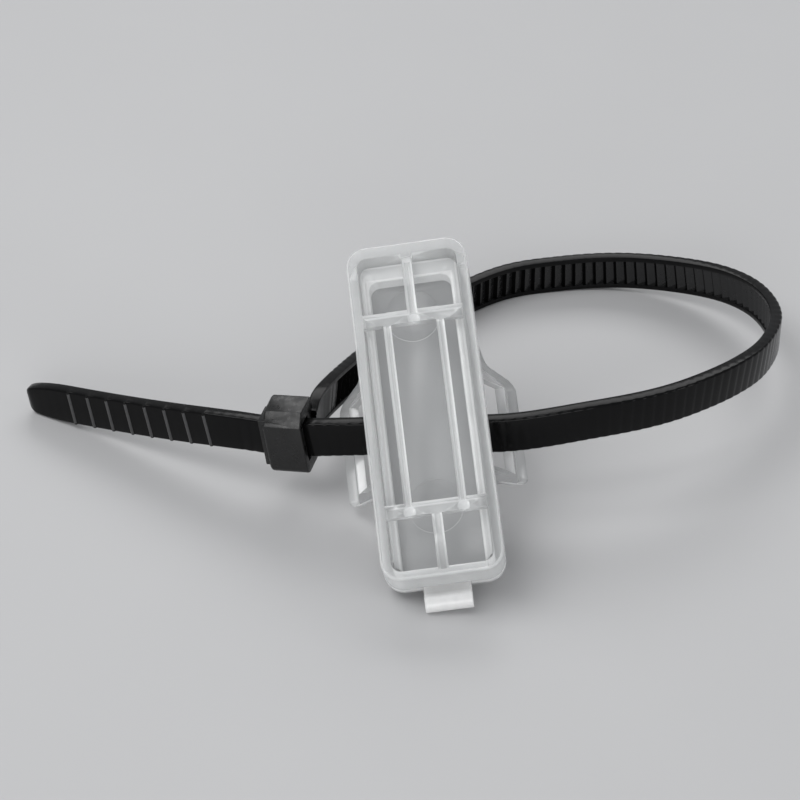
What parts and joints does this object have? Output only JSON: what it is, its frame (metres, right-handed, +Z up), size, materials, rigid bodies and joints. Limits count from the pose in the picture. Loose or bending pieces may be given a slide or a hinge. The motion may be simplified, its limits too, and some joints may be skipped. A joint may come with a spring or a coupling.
{
  "type": "cable marker",
  "caption": "Clear flip-lid label holder with slotted wings on its back, strapped on by a toothed ratchet cable tie closed into a loop round a cable.",
  "frame": {"origin": "on the surface that the marker lies on, under the middle of the tie's loop, where the cable runs", "axes": "+X from the tie's tail to the far side of the loop, the longest extent; +Y from the holder's hinge end to the back of the loop; +Z up, the way the cable leaves the loop"},
  "size_m": [0.0832, 0.0576, 0.0264],
  "materials": {
    "clear_plastic": "milky clear, glossy",
    "hinge_plastic": "whitened where it folds",
    "black_nylon": "moulded, semi-gloss"
  },
  "bodies": {
    "marker": {"holder_base": "clear_plastic", "hinge_strap": "hinge_plastic", "cable_tie": "black_nylon"},
    "cover": {"holder_cover": "clear_plastic"}
  },
  "joints": [
    {"name": "cover_hinge", "type": "hinge", "parent": "marker", "child": "cover", "pos_m": [-0.01058, -0.03458, 0.0012], "axis": [0.9901, 0.0459, 0.1327], "range_deg": [0, 80], "deforming": ["hinge_strap"]}
  ]
}
